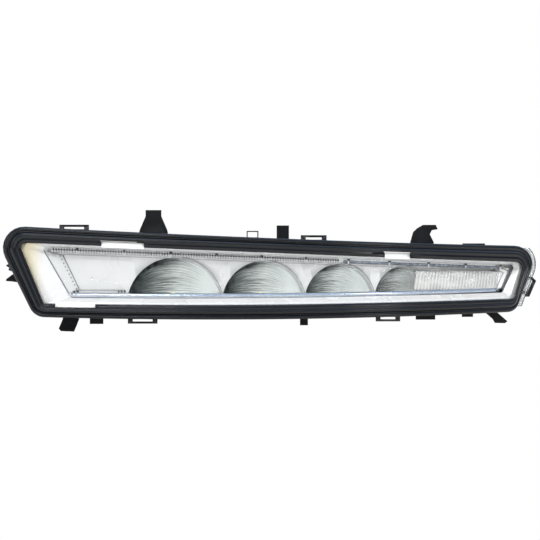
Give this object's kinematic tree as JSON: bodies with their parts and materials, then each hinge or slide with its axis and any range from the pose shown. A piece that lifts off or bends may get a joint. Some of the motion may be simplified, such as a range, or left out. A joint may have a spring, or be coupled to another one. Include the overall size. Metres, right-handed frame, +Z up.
{
  "type": "daytime running light",
  "caption": "Long swept daytime running light with a ridged black bezel, clear lens, metallised half-dome reflector bowls and a black rear housing with fixing tab and socket.",
  "frame": {"origin": "centre of the upper fixing hole, halfway through the tongue's thickness", "axes": "+X along the lamp towards its outer end, +Y rearwards into the car, +Z up along the upper fixing hole"},
  "size_m": [0.4345, 0.1962, 0.0986],
  "materials": {
    "bezel_black": "moulded gloss black with ridges",
    "housing_black": "moulded matt black",
    "clear_cover": "clear hard-coated polycarbonate",
    "seal_rubber": "soft dark grey",
    "metallised": "vacuum metallised plastic",
    "clear_optic": "clear moulded acrylic",
    "carrier_metal": "pressed sheet",
    "led_board": "white solder mask",
    "led_package": "phosphor under a clear dome",
    "flex_film": "amber polyimide film",
    "driver_board": "green solder mask",
    "chip_black": "moulded package",
    "coil_core": "ferrite",
    "capacitor_can": "drawn can",
    "contact_metal": "tinned contacts",
    "vent_plastic": "moulded",
    "vent_film": "porous film",
    "screw_steel": "zinc plated"
  },
  "bodies": {
    "root": {"surround_frame": "bezel_black", "outer_lens": "clear_cover", "end_flange": "clear_cover", "lens_seal": "seal_rubber", "inner_bezel": "metallised", "reflector": "metallised", "flute_optic": "clear_optic", "rear_housing": "housing_black", "led_carrier": "carrier_metal", "led_board_1": "led_board", "led_board_2": "led_board", "led_board_3": "led_board", "led_board_4": "led_board", "led_1": "led_package", "led_2": "led_package", "led_3": "led_package", "led_4": "led_package", "flex_lead": "flex_film", "driver_board": "driver_board", "driver_chip": "chip_black", "driver_coil": "coil_core", "driver_capacitors": "capacitor_can", "connector_pins": "contact_metal", "vent_cap": "vent_plastic", "vent_membrane": "vent_film", "reflector_screws": "screw_steel", "carrier_screws": "screw_steel", "driver_screws": "screw_steel"}
  },
  "joints": []
}
